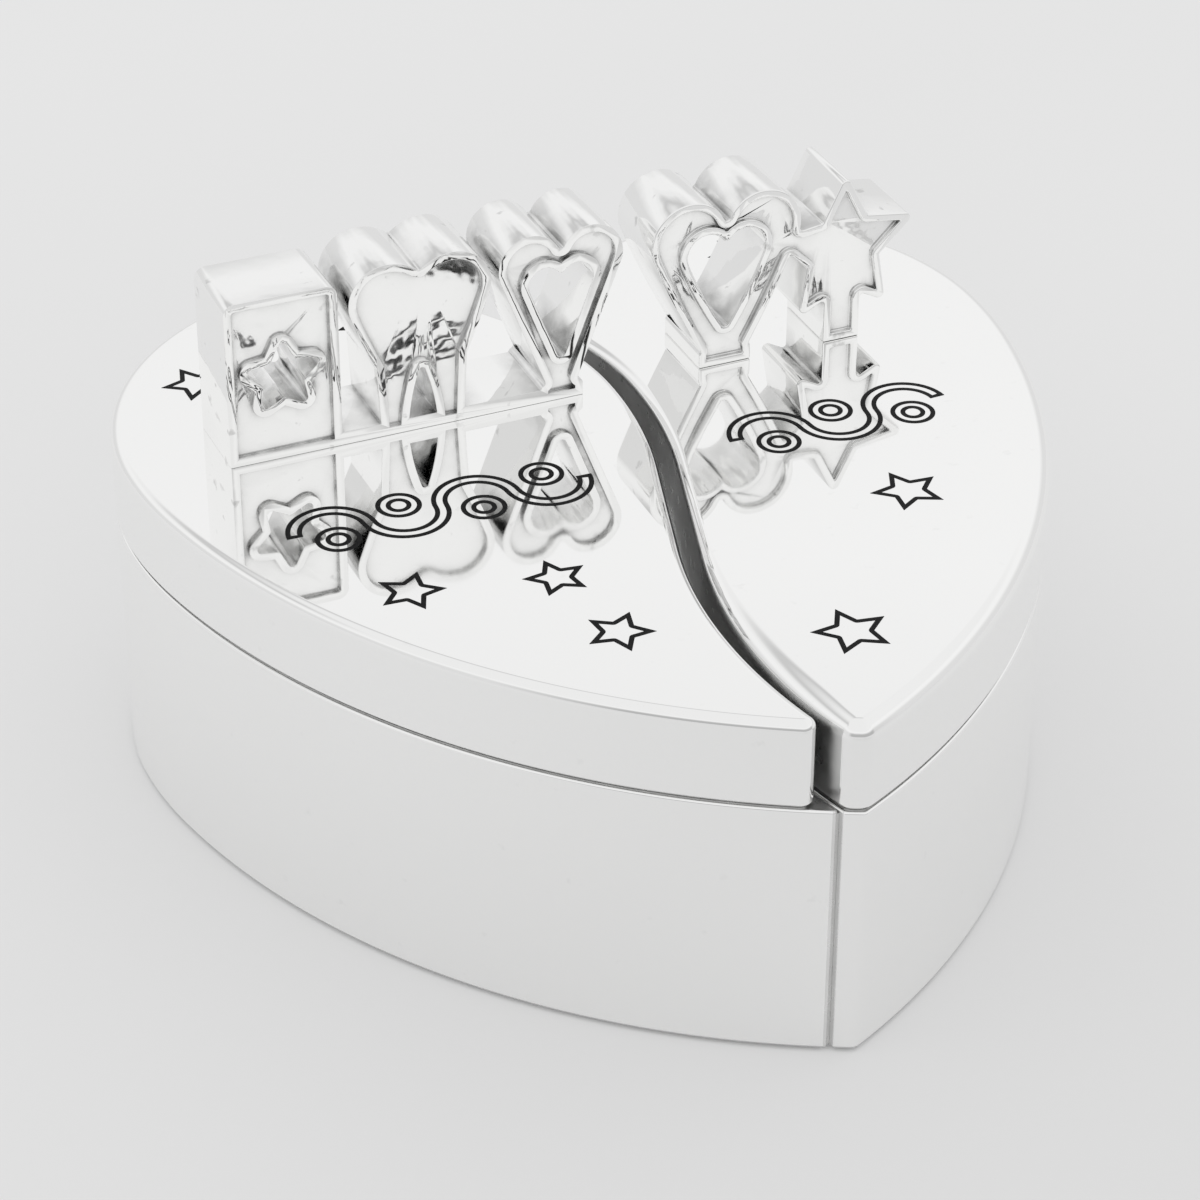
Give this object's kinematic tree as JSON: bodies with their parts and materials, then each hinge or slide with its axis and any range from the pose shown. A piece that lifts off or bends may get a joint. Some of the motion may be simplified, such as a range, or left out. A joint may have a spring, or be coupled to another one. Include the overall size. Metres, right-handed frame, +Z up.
{
  "type": "keepsake box pair",
  "caption": "Heart-shaped silver-plated baby keepsake split by an S into two lined boxes with lift-off lids and standing openwork ornaments.",
  "frame": {"origin": "middle of the base, at the height of the surface it stands on", "axes": "+Z up, -Y towards the heart's point, +X towards the curl box"},
  "size_m": [0.0792, 0.0811, 0.0469],
  "materials": {
    "silver": "silver plate, mirror polished",
    "ornament": "silver plate on a casting, softer bead and sunken face",
    "enamel": "black enamel in cut lines",
    "velour": "short pile velour on card",
    "felt": "black felt",
    "screw": "plated steel"
  },
  "bodies": {
    "tooth_box": {"tooth_box_body": "silver", "tooth_box_base_pad": "felt", "tooth_box_wall_lining": "velour", "tooth_box_floor_pad": "velour"},
    "tooth_cover": {"tooth_lid": "silver", "tooth_lid_enamel": "enamel", "tooth_lid_lining": "velour", "tooth_lid_screws": "screw", "tooth_lid_ornament": "ornament"},
    "curl_box": {"curl_box_body": "silver", "curl_box_base_pad": "felt", "curl_box_wall_lining": "velour", "curl_box_floor_pad": "velour"},
    "curl_cover": {"curl_lid": "silver", "curl_lid_enamel": "enamel", "curl_lid_lining": "velour", "curl_lid_screws": "screw", "curl_lid_ornament": "ornament"}
  },
  "joints": [
    {"name": "tooth_lid_lift", "type": "slide", "parent": "tooth_box", "child": "tooth_cover", "axis": [0, 0, 1], "range_m": [0, 0.03]},
    {"name": "boxes_apart", "type": "slide", "parent": "tooth_box", "child": "curl_box", "axis": [1, 0, 0], "range_m": [0, 0.05]},
    {"name": "curl_lid_lift", "type": "slide", "parent": "curl_box", "child": "curl_cover", "axis": [0, 0, 1], "range_m": [0, 0.03]}
  ]
}
